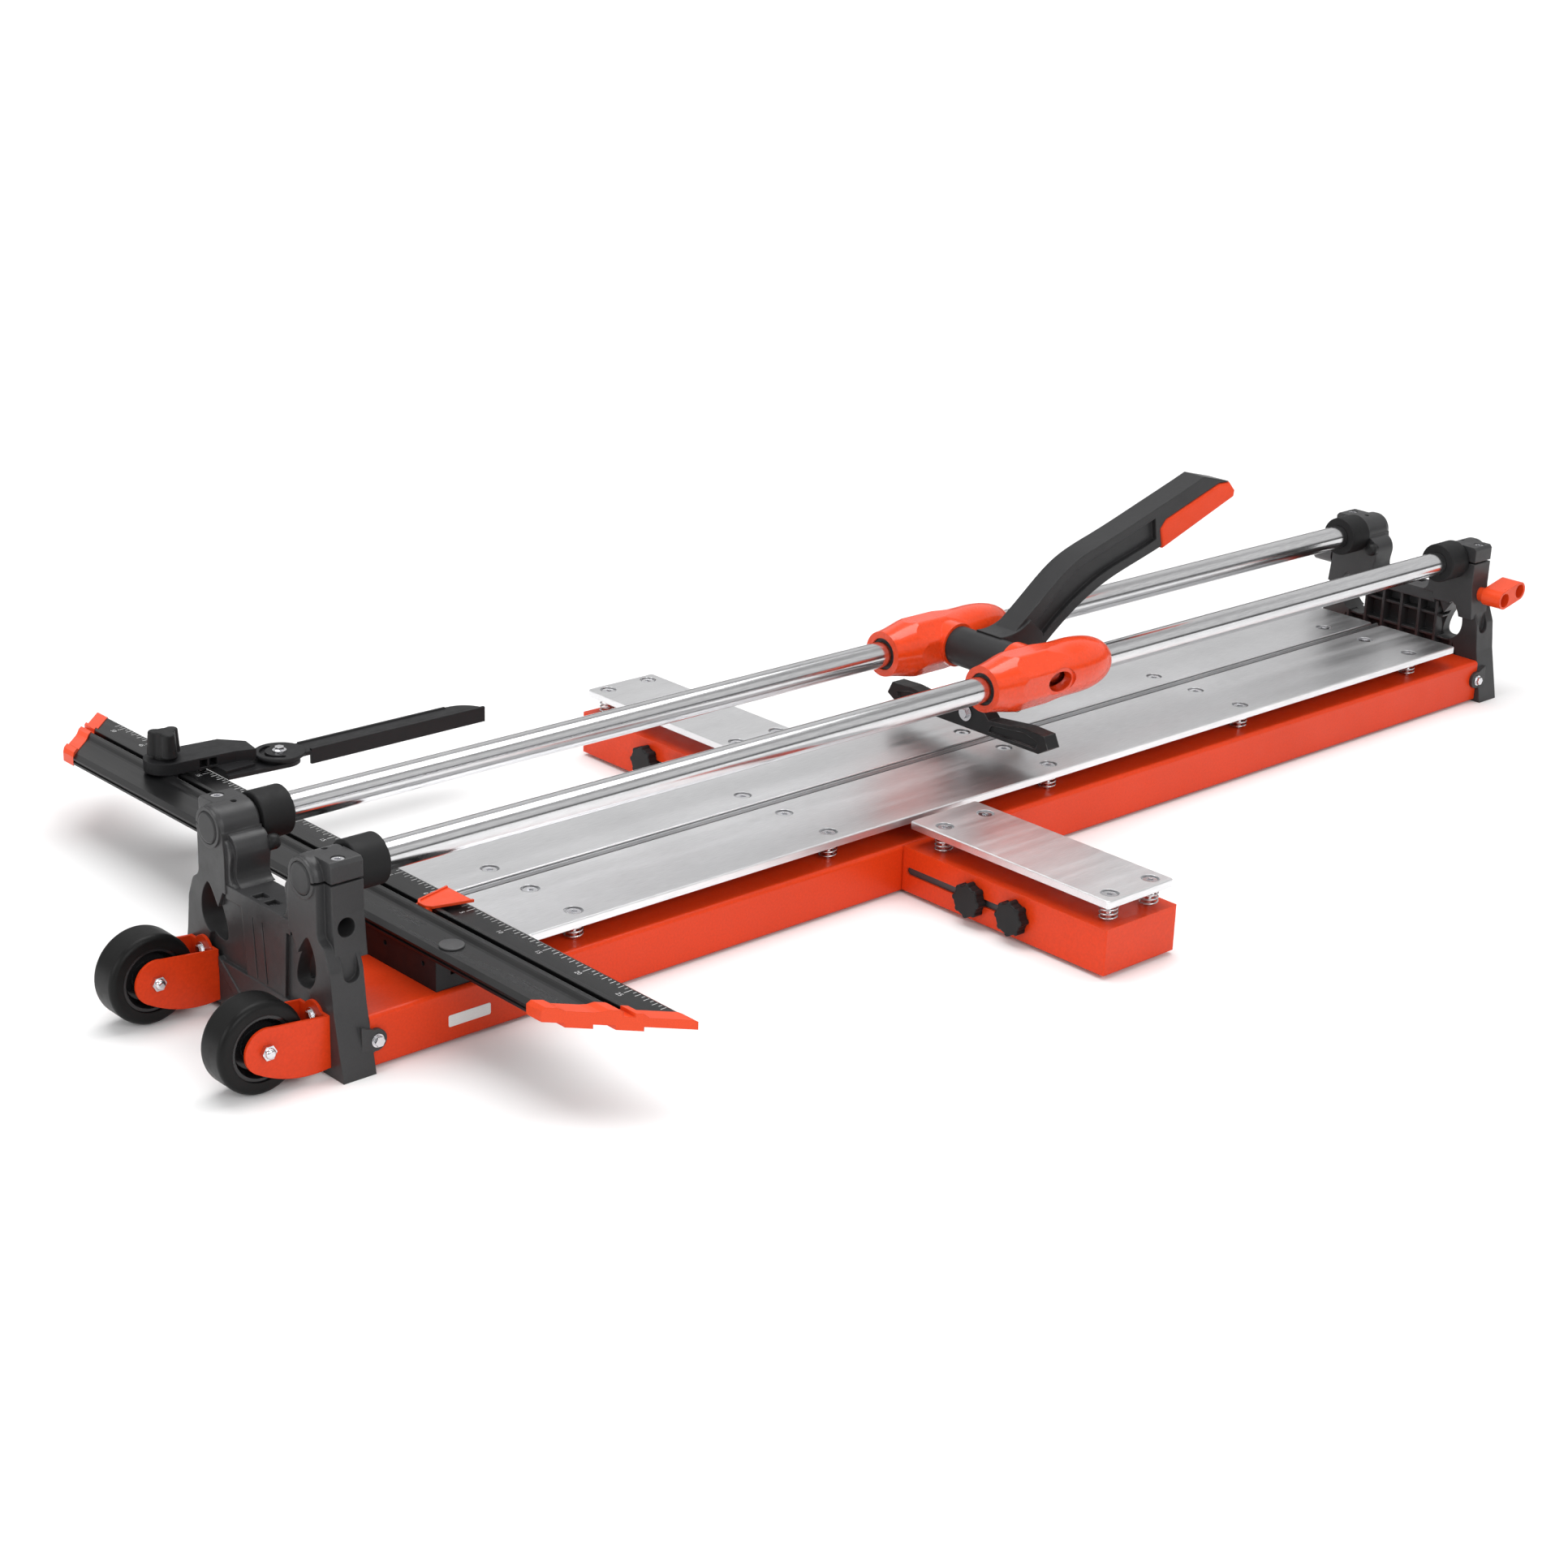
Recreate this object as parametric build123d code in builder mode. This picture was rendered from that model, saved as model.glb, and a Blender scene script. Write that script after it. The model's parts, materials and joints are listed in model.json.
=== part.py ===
from build123d import *
import os

os.makedirs("parts", exist_ok=True)

# A manual tile cutter. X runs along the rails from the wheel end to the far end, Y across, Z up.
# The origin is on the floor, midway between the end frames and under the cutting line.

# ------------------------------------------------------------------ driving dimensions, millimetres
overall_length = 1522.0           # over the outer faces of the two end frames
near_x = -overall_length / 2      # outer face of the frame at the wheel end
far_x = overall_length / 2        # outer face of the other frame

rail_d = 25.0
rail_y = 66.0                     # each rail's distance from the cutting line
rail_z = 154.5

frame_depth = 30.0                # the frame's feet, along X
tower_depth = 37.0                # the rail clamps, along X
foot_half_width = 116.0
saddle_z = 112.0
ring_start = 38.5                 # bumper ring, from the frame's outer face
ring_end = 68.0
ring_r = 21.0
side_hole_z = 118.0
side_hole_x = 20.0
side_hole_r = 7.8

chassis_half_width = 108.0
chassis_bottom = 3.0
chassis_top = 46.0
sheet = 2.5

bed_top = 70.0
plate_thickness = 7.0
plate_bottom = bed_top - plate_thickness
table_start = near_x + 186.0
table_end = near_x + 1450.0
table_inner = 6.0
table_outer = 104.0

arm_x0 = near_x + 604.0           # side arm, the edge nearer the wheels
arm_width = 91.0
arm_end = 351.0                   # closed end of the arm, from the cutting line
arm_bottom = 4.0
arm_travel = 75.0
arm_knob_ys = (197.0, 248.0)
arm_knob_z = 24.0

fence_x = near_x + 93.0           # fence side nearer the frame
fence_width = 83.0
fence_z = 73.0
fence_right = -222.0              # near-side corners of the mitred ends
fence_left = 455.0

stop_x = fence_x + 46.75          # knob axis, over the fence's T-slot
stop_y = 371.0
disc_x = near_x + 241.0           # pivot of the stop bar
disc_y = 342.0

pivot_x = near_x + 815.0          # axle that the lever turns on
pivot_z = 157.0
tube_r = 19.0
tube_end = 36.0                   # half length of the cross tube
axle_r = 8.0
running = 0.06                    # radial clearance of a running fit

cutter_x = pivot_x + 51.0
cutter_z = 99.0
cutter_r = 11.0
foot_x = near_x + 792.0
foot_axis_z = 103.0

wheel_x = near_x - 56.0
wheel_z = 38.6
wheel_r = 38.0
wheel_y = 79.0
wheel_width = 30.0


def save(builder, name):
    """Label a finished piece and write it as one STEP file."""
    builder.part.label = name
    export_step(builder.part, f"parts/{name}.step")


# ------------------------------------------------------------------ end frames
def leg_outline(side):
    """One leg of a frame with its tower, seen along X, as points (y, z)."""
    points = [(88, 0), (foot_half_width, 0), (104.5, 56), (101, 86), (93.5, 104), (84, 110),
              (84, rail_z), (47.5, rail_z), (45, 135), (45, saddle_z), (62, 80), (78, 46)]
    return [(side * y, z) for y, z in points]


def window_outline(side):
    """Opening between a leg and the middle panel."""
    points = [(72.5, 106), (80.5, 92), (80, 74), (66, 61.5), (51, 62), (53, 82), (63, 99)]
    return [(side * y, z) for y, z in points]


def near_frame_part():
    with BuildPart() as frame:
        # thin web between the legs and the deep beam that carries the chassis
        with BuildSketch(Plane.YZ.offset(near_x + 4)):
            with BuildLine():
                Polyline((-98, 8), (98, 8), (96, 60), (84, saddle_z), (-84, saddle_z), (-96, 60),
                         close=True)
            make_face()
        extrude(amount=12)
        with BuildSketch(Plane.YZ.offset(near_x)):
            with BuildLine():
                Polyline((-104, 5), (104, 5), (100, 44), (-100, 44), close=True)
            make_face()
        extrude(amount=frame_depth)
        # legs and towers
        for side in (-1, 1):
            with BuildSketch(Plane.YZ.offset(near_x)) as leg:
                with BuildLine():
                    Polyline(*leg_outline(side), close=True)
                make_face()
                fillet(leg.vertices().filter_by(lambda v: 50 < v.Y < 112), radius=9)
            extrude(amount=frame_depth)
            # the barrel that holds the rail, its front edge turned over
            with BuildSketch(Plane.YZ.offset(near_x)):
                with BuildLine():
                    Polyline((side * 45, 104), (side * 84, 104), (side * 84, rail_z),
                             (side * 47.5, rail_z), close=True)
                make_face()
            extrude(amount=tower_depth)
            with BuildSketch(Plane.XZ.offset(-side * rail_y)):
                with BuildLine():
                    Polyline((near_x, rail_z), (near_x, rail_z + 15), (near_x + 0.9, rail_z + 17.3),
                             (near_x + 3.2, rail_z + 18.2), (near_x + tower_depth - 2, rail_z + 18.2),
                             (near_x + tower_depth, rail_z + 16.5), (near_x + tower_depth, rail_z),
                             close=True)
                make_face()
            revolve(axis=Axis((near_x, side * rail_y, rail_z), (1, 0, 0)))
            # slanting rib on the outer face, from the wheel bracket towards the middle
            with BuildSketch(Plane.YZ.offset(near_x - 1)):
                with BuildLine():
                    Polyline((side * 58, 37.5), (side * 58, 46.5), (side * 24, 22), (side * 28, 15),
                             close=True)
                make_face()
            extrude(amount=7)
            # bolt boss on the outer side, set back from the face
            with BuildSketch(Plane.YZ.offset(near_x + 8)):
                with BuildLine():
                    Polyline((side * 78, 92), (side * 97, 92), (side * 93.5, 128), (side * 93.5, 169),
                             (side * 91, 172), (side * 68, 172), (side * 66, 160), close=True)
                make_face()
            extrude(amount=tower_depth - 8)
            # inner pillar with a full, rounded shoulder under the barrel
            for depth_from, inset in ((2, 3), (6, 0)):
                with BuildSketch(Plane.YZ.offset(near_x + depth_from)):
                    with BuildLine():
                        inner = Spline((side * (30 + inset), saddle_z), (side * (37 + inset), 119),
                                       (side * (37 + inset), 128), (side * (35.5 + inset), 138),
                                       (side * (38.5 + inset), 147 - inset),
                                       (side * (50 + inset), 152.5 - inset))
                        Polyline(inner @ 1, (side * 60, 152.5 - inset), (side * 60, saddle_z), inner @ 0)
                    make_face()
                extrude(amount=tower_depth - depth_from)
            # lug that lies against the chassis side
            with BuildSketch(Plane.XZ.offset(-side * chassis_half_width)):
                with Locations((near_x + 34, 26)):
                    Circle(9)
                with BuildLine():
                    Polyline((near_x + 20, 12), (near_x + 33, 17.5), (near_x + 33, 34.5),
                             (near_x + 20, 40), close=True)
                make_face()
            extrude(amount=-side * 4)
            # raised ring around the end plug
            with BuildSketch(Plane.YZ.offset(near_x - 1.5)):
                with Locations((side * rail_y, rail_z)):
                    Circle(16.8)
            extrude(amount=4)
        # saddle and the flat panel below it
        with BuildSketch(Plane.YZ.offset(near_x + 1)):
            with BuildLine():
                Polyline((-46, saddle_z - 12), (46, saddle_z - 12), (46, saddle_z),
                         (-46, saddle_z), close=True)
            make_face()
        extrude(amount=tower_depth - 3)
        with BuildSketch(Plane.YZ.offset(near_x + 1)):
            with BuildLine():
                Polyline((-40, saddle_z - 12), (24, saddle_z - 12), (18, 44), (-36, 44), close=True)
            make_face()
        extrude(amount=6)
        # two upright grooves in the panel
        for y in (-6, 8):
            with BuildSketch(Plane.YZ.offset(near_x)):
                with BuildLine():
                    Polyline((y - 0.8, 97), (y + 0.8, 97), (y - 4.2, 46), (y - 5.8, 46), close=True)
                make_face()
            extrude(amount=2.2, mode=Mode.SUBTRACT)
        # ribs on the inner face
        for y in (-70, -47, -24, 0, 24, 47, 70):
            with BuildSketch(Plane.YZ.offset(near_x + 15)):
                with Locations((y, 74)):
                    Rectangle(3, 54)
            extrude(amount=15)
        for z in (60, 84):
            with BuildSketch(Plane.YZ.offset(near_x + 15)):
                with Locations((0, z)):
                    Rectangle(176, 3)
            extrude(amount=12)
        # windows
        for side in (-1, 1):
            with BuildSketch(Plane.YZ.offset(near_x - 2)):
                with BuildLine():
                    Spline(*window_outline(side), periodic=True)
                make_face()
            extrude(amount=tower_depth + 4, mode=Mode.SUBTRACT)
        # rail bores, plug seats, clamp slits, bolt holes and side holes
        for side in (-1, 1):
            with BuildSketch(Plane.YZ.offset(near_x - 3)):
                with Locations((side * rail_y, rail_z)):
                    Circle(rail_d / 2 + 0.03)
            extrude(amount=tower_depth + 6, mode=Mode.SUBTRACT)
            with BuildSketch(Plane.YZ.offset(near_x - 3)):
                with Locations((side * rail_y, rail_z)):
                    Circle(13.6)
            extrude(amount=9, mode=Mode.SUBTRACT)
            with BuildSketch(Plane.YZ.offset(near_x - 3)):
                with Locations((side * 88, rail_z)):
                    Rectangle(24, 2)
            extrude(amount=tower_depth + 6, mode=Mode.SUBTRACT)
            with BuildSketch(Plane.XY.offset(176)):
                with Locations((near_x + 20, side * 85)):
                    Circle(3.3)
            extrude(amount=-50, mode=Mode.SUBTRACT)
            with BuildSketch(Plane.XY.offset(176)):
                with Locations((near_x + 20, side * 85)):
                    Circle(5.6)
            extrude(amount=-10, mode=Mode.SUBTRACT)
            with BuildSketch(Plane.XY.offset(176)):
                with Locations((near_x + 22, side * 64)):
                    Circle(2.6)
            extrude(amount=-9, mode=Mode.SUBTRACT)
            with BuildSketch(Plane.XZ.offset(-side * 120)):
                with Locations((near_x + side_hole_x, side_hole_z)):
                    Circle(side_hole_r)
            extrude(amount=side * 60, mode=Mode.SUBTRACT)
            # tongue-shaped hollow below the side hole
            with BuildSketch(Plane.XZ.offset(-side * 106)):
                with Locations((near_x + 19, 92)):
                    SlotOverall(34, 15, rotation=90)
            extrude(amount=side * 9.5, mode=Mode.SUBTRACT)
            # chassis bolt through the lug
            with BuildSketch(Plane.XZ.offset(-side * 116)):
                with Locations((near_x + 34, 26)):
                    Circle(3.3)
            extrude(amount=side * 20, mode=Mode.SUBTRACT)
        # square pockets for the saddle bolts
        for y in (-8.5, 8.5):
            with BuildSketch(Plane.XY.offset(saddle_z + 1)):
                with Locations((near_x + 10, y)):
                    Rectangle(11, 11)
            extrude(amount=-8, mode=Mode.SUBTRACT)
            with BuildSketch(Plane.XY.offset(saddle_z + 1)):
                with Locations((near_x + 10, y)):
                    Circle(3.1)
            extrude(amount=-20, mode=Mode.SUBTRACT)
    return frame


def frames():
    near_frame = near_frame_part()
    save(near_frame, "near_frame")
    with BuildPart() as far_frame:
        mirror(near_frame.part, about=Plane.YZ)
    save(far_frame, "far_frame")


def both_ends(piece):
    """The same pieces at the wheel end and, mirrored, at the far end."""
    with BuildPart() as pair:
        add(piece.part)
        mirror(piece.part, about=Plane.YZ)
    return pair


def frame_fasteners():
    with BuildPart() as clamp_near:
        for side in (-1, 1):
            with BuildSketch(Plane.XY.offset(126.5)):
                with Locations((near_x + 20, side * 85)):
                    Circle(3)
            extrude(amount=40)
            with BuildSketch(Plane.XY.offset(166.05)):
                with Locations((near_x + 20, side * 85)):
                    Circle(5.2)
            extrude(amount=5.2)
            with BuildSketch(Plane.XY.offset(171.5)):
                with Locations((near_x + 20, side * 85)):
                    RegularPolygon(2.8, 6)
            extrude(amount=-3, mode=Mode.SUBTRACT)
    save(both_ends(clamp_near), "rail_clamp_bolts")

    with BuildPart() as saddle_near:
        for y in (-8.5, 8.5):
            with BuildSketch(Plane.XY.offset(saddle_z - 18)):
                with Locations((near_x + 10, y)):
                    Circle(2.9)
            extrude(amount=12)
            with BuildSketch(Plane.XY.offset(saddle_z - 6.95)):
                with Locations((near_x + 10, y)):
                    RegularPolygon(5, 6)
            extrude(amount=4.5)
    save(both_ends(saddle_near), "saddle_bolts")

    with BuildPart() as lug_near:
        for side in (-1, 1):
            with BuildSketch(Plane.XZ.offset(-side * (chassis_half_width + 4.05))):
                with Locations((near_x + 34, 26)):
                    Circle(5.6)
            extrude(amount=-side * 1.2)
            with BuildSketch(Plane.XZ.offset(-side * (chassis_half_width + 5.2))):
                with Locations((near_x + 34, 26)):
                    RegularPolygon(4.4, 6)
            extrude(amount=-side * 3.4)
            with BuildSketch(Plane.XZ.offset(-side * (chassis_half_width - 8))):
                with Locations((near_x + 34, 26)):
                    Circle(3)
            extrude(amount=-side * 14)
    save(both_ends(lug_near), "chassis_bolts")


def rails():
    with BuildPart() as pair:
        with BuildSketch(Plane.YZ.offset(near_x + 6.5)):
            with Locations((-rail_y, rail_z), (rail_y, rail_z)):
                Circle(rail_d / 2)
        extrude(amount=overall_length - 13)
        chamfer(pair.edges().filter_by(GeomType.CIRCLE), length=1)
    save(pair, "rails")

    with BuildPart() as plugs_near:
        for side in (-1, 1):
            with BuildSketch(Plane.YZ.offset(near_x + 6)):
                with Locations((side * rail_y, rail_z)):
                    Circle(13.5)
            extrude(amount=-8.5)
        fillet(plugs_near.faces().group_by(Axis.X)[0].edges(), radius=2.2)
    save(both_ends(plugs_near), "rail_end_plugs")

    with BuildPart() as rings_near:
        for side in (-1, 1):
            with BuildSketch(Plane.YZ.offset(near_x + ring_start)):
                with Locations((side * rail_y, rail_z)):
                    Circle(ring_r)
                    Circle(rail_d / 2 + 0.15, mode=Mode.SUBTRACT)
            extrude(amount=ring_end - ring_start)
        outer = rings_near.edges().filter_by(lambda e: e.geom_type == GeomType.CIRCLE and e.radius > 20)
        fillet(outer, radius=1.6)
    save(both_ends(rings_near), "bumper_rings")


# ------------------------------------------------------------------ chassis
def table_screw_places():
    """Where the shoulder screws of both tables stand, as (x, y)."""
    count = 5
    margin = 60.0
    pitch = (table_end - table_start - 2 * margin) / (count - 1)
    xs = [table_start + margin + i * pitch for i in range(count)]
    return [(x, side * y) for side in (-1, 1) for y in (28.0, 86.0) for x in xs]


def chassis():
    start = near_x + frame_depth + 0.1
    length = overall_length - 2 * (frame_depth + 0.1)
    height = chassis_top - chassis_bottom
    middle = (chassis_top + chassis_bottom) / 2
    with BuildPart() as body:
        with BuildSketch(Plane.YZ.offset(start)) as section:
            with Locations((0, middle)):
                Rectangle(2 * chassis_half_width, height)
            fillet(section.vertices().group_by(Axis.Y)[-1], radius=4)
            with Locations((0, middle - sheet / 2)):
                Rectangle(2 * (chassis_half_width - sheet), height - sheet, mode=Mode.SUBTRACT)
            for side in (-1, 1):
                with Locations((side * (chassis_half_width - 9), chassis_bottom + sheet / 2)):
                    Rectangle(18, sheet)
        extrude(amount=length)
        # cross webs under the bed, the foot plate in the middle
        for x in (-500, -170, 170, 500):
            with BuildSketch(Plane.YZ.offset(x - 1.5)):
                with Locations((0, middle)):
                    Rectangle(2 * chassis_half_width - 3, height - 3)
            extrude(amount=3)
        with BuildSketch(Plane.XY.offset(chassis_bottom)):
            Rectangle(120, 2 * chassis_half_width - 3)
        extrude(amount=sheet)
        # clearance for the table screws and the chassis bolts
        with BuildSketch(Plane.XY.offset(chassis_top + 1)):
            with Locations(*table_screw_places()):
                Circle(3.2)
        extrude(amount=-8, mode=Mode.SUBTRACT)
        for end in (-1, 1):
            for side in (-1, 1):
                with BuildSketch(Plane.XZ.offset(-side * (chassis_half_width + 2))):
                    with Locations((end * (overall_length / 2 - 34), 26)):
                        Circle(3.3)
                extrude(amount=side * 6, mode=Mode.SUBTRACT)
    save(body, "chassis")

    with BuildPart() as rubber_foot:
        with BuildSketch(Plane.XY):
            RectangleRounded(70, 120, 10)
        extrude(amount=chassis_bottom)
    save(rubber_foot, "chassis_foot")

    with BuildPart() as rib:
        with BuildSketch(Plane.YZ.offset(table_start)):
            with Locations((0, chassis_top + 1.5)):
                Rectangle(26, 3)
            with BuildLine():
                Polyline((-2.5, chassis_top + 3), (2.5, chassis_top + 3), (2.5, bed_top - 1.5),
                         (1, bed_top + 0.8), (-1, bed_top + 0.8), (-2.5, bed_top - 1.5), close=True)
            make_face()
        extrude(amount=table_end - table_start)
    save(rib, "breaking_rib")


# ------------------------------------------------------------------ sprung plates
def coil_spring(places, bottom, top, turns=4):
    """Coil springs with flat-ended wire rings, standing at each (x, y)."""
    wire_r = 0.9
    coil_r = 7.6
    height = top - bottom - 2 * wire_r
    pitch = height / turns
    with BuildPart() as one:
        with BuildLine():
            path = Helix(pitch=pitch, height=height, radius=coil_r)
        with BuildSketch(Plane(origin=path @ 0, z_dir=path % 0)):
            Circle(wire_r)
        sweep(path=path, is_frenet=True)
    with BuildPart() as springs:
        for x, y in places:
            with Locations((x, y, bottom + wire_r)):
                add(one.part)
    return springs


def plate_with_seats(corner_low, corner_high, places):
    """A sprung plate between two (x, y) corners with a stepped hole at each place."""
    width = corner_high[0] - corner_low[0]
    depth = corner_high[1] - corner_low[1]
    centre = ((corner_low[0] + corner_high[0]) / 2, (corner_low[1] + corner_high[1]) / 2)
    with BuildPart() as plate:
        with BuildSketch(Plane.XY.offset(plate_bottom)):
            with Locations(centre):
                RectangleRounded(width, depth, 3)
        extrude(amount=plate_thickness)
        top_edges = plate.faces().sort_by(Axis.Z)[-1].edges()
        chamfer(top_edges, length=0.8)
        with BuildSketch(Plane.XY.offset(bed_top)):
            with Locations(*places):
                Circle(8.2)
        extrude(amount=-4.5, mode=Mode.SUBTRACT)
        with BuildSketch(Plane.XY.offset(bed_top)):
            with Locations(*places):
                Circle(3.4)
        extrude(amount=-plate_thickness, mode=Mode.SUBTRACT)
    return plate


def shoulder_screws(places, bottom):
    """Socket screws whose heads hold a sprung plate down."""
    seat = bed_top - 4.5
    with BuildPart() as screws:
        with BuildSketch(Plane.XY.offset(bottom)):
            with Locations(*places):
                Circle(3)
        extrude(amount=seat - bottom + 0.5)
        with BuildSketch(Plane.XY.offset(seat + 0.02)):
            with Locations(*places):
                Circle(6.4)
        extrude(amount=3.4)
        with BuildSketch(Plane.XY.offset(seat + 3.5)):
            with Locations(*places):
                RegularPolygon(3.1, 6)
        extrude(amount=-2.2, mode=Mode.SUBTRACT)
    return screws


def bed():
    places = table_screw_places()
    for side, name in ((-1, "table_right"), (1, "table_left")):
        own = [p for p in places if p[1] * side > 0]
        ys = sorted((side * table_inner, side * table_outer))
        save(plate_with_seats((table_start, ys[0]), (table_end, ys[1]), own), name)
        save(coil_spring(own, chassis_top + 0.05, plate_bottom - 0.05), name + "_springs")
    save(shoulder_screws(places, chassis_top - 6), "table_screws")


# ------------------------------------------------------------------ side arms
def arm(side, name):
    inner = chassis_half_width + 0.2
    length = arm_end - inner
    arm_middle_z = (arm_bottom + chassis_top) / 2
    height = chassis_top - arm_bottom
    centre_x = arm_x0 + arm_width / 2
    places = [(centre_x + dx, side * y) for y in (140.0, 335.0) for dx in (-26.0, 26.0)]

    with BuildPart() as box:
        with BuildSketch(Plane.XY.offset(arm_bottom)):
            with Locations((centre_x, side * (inner + length / 2))):
                RectangleRounded(arm_width, length, 1.5)
        extrude(amount=height)
        with BuildSketch(Plane.XY.offset(arm_bottom + sheet)):
            with Locations((centre_x, side * (inner + (length - sheet) / 2 - 1))):
                Rectangle(arm_width - 2 * sheet, length - sheet + 2)
        extrude(amount=height - 2 * sheet, mode=Mode.SUBTRACT)
        slot_start = inner + 6
        slot_end = arm_knob_ys[1] + 5
        with BuildSketch(Plane.YZ.offset(arm_x0 - 2)):
            with Locations((side * (slot_start + slot_end) / 2, arm_knob_z)):
                SlotOverall(slot_end - slot_start, 7.5)
        extrude(amount=sheet + 4, mode=Mode.SUBTRACT)
        with BuildSketch(Plane.XY.offset(chassis_top + 1)):
            with Locations(*places):
                Circle(3.15)
        extrude(amount=-8, mode=Mode.SUBTRACT)
    save(box, f"arm_box_{name}")

    guide_length = arm_knob_ys[1] + 14 - inner
    guide_width = arm_width - 2 * sheet - 0.6
    guide_height = height - 2 * sheet - 0.6
    with BuildPart() as guide:
        with BuildSketch(Plane.XZ.offset(-side * inner)):
            with Locations((centre_x, arm_middle_z)):
                Rectangle(guide_width, guide_height)
                Rectangle(guide_width - 8, guide_height - 16, mode=Mode.SUBTRACT)
        extrude(amount=-side * guide_length)
        with BuildSketch(Plane.YZ.offset(centre_x - guide_width / 2 - 1)):
            with Locations(*[(side * y, arm_knob_z) for y in arm_knob_ys]):
                Circle(3 + running)
        extrude(amount=guide_width / 2, mode=Mode.SUBTRACT)
        # grooves in the top of the bar, where the shoulder screws pass
        with BuildSketch(Plane.XY.offset(chassis_top - 7)):
            for dx in (-26.0, 26.0):
                with Locations((centre_x + dx, side * (inner + guide_length / 2))):
                    Rectangle(8, guide_length + 4)
        extrude(amount=height, mode=Mode.SUBTRACT)

    ys = sorted((side * (chassis_half_width + 4), side * (arm_end - 3)))
    low = (arm_x0 + 3.5, ys[0])
    high = (arm_x0 + arm_width - 3.5, ys[1])
    save(plate_with_seats(low, high, places), f"arm_plate_{name}")
    save(coil_spring(places, chassis_top + 0.05, plate_bottom - 0.05), f"arm_springs_{name}")
    save(shoulder_screws(places, chassis_top - 6), f"arm_screws_{name}")

    for index, y in enumerate(arm_knob_ys, start=1):
        with BuildPart() as knob:
            with BuildSketch(Plane.YZ.offset(arm_x0 - 0.4)):
                with Locations((side * y, arm_knob_z)):
                    Circle(14.2)
                    with PolarLocations(13.2, 8):
                        Circle(3.0)
            extrude(amount=-10)
            outer_face = knob.faces().sort_by(Axis.X)[0]
            fillet(outer_face.edges(), radius=1.2)
            with BuildSketch(Plane.YZ.offset(arm_x0 - 3)):
                with Locations((side * y, arm_knob_z)):
                    Circle(3)
            extrude(amount=11)
        save(knob, f"arm_knob_{name}_{index}")
    return guide


def arms():
    right_guide = arm(-1, "right")
    left_guide = arm(1, "left")
    with BuildPart() as guides:
        add(right_guide.part)
        add(left_guide.part)
    save(guides, "arm_guides")


# ------------------------------------------------------------------ fence
def fence_section():
    """Upper outline of the fence as (distance from its near side, height)."""
    return [(0, 0), (0, 2), (1.5, 2.4), (1.5, 4), (0, 4.4), (0, 6), (6.5, 7.6), (30.5, 7.6),
            (33, 8), (36, 9.5), (38, 10), (42, 10), (43.5, 9.4), (43.5, 5.4), (40.5, 5.4),
            (40.5, 2), (53, 2), (53, 5.4), (50, 5.4), (50, 8.2), (50.5, 8.6), (54, 8.6), (54.6, 8),
            (54.6, 4.6), (56, 4.6), (56.8, 5.4), (80.5, 5.4), (fence_width, 4.2), (fence_width, 1.5),
            (58, 1.5), (58, 0)]


def end_plane(end, beyond):
    """Mitre plane of one fence end, moved out by a distance along its normal."""
    y = fence_right if end < 0 else fence_left
    normal = Vector(-1, end, 0).normalized()
    return Plane(origin=Vector(fence_x, y, fence_z) + normal * beyond, z_dir=normal)


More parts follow.
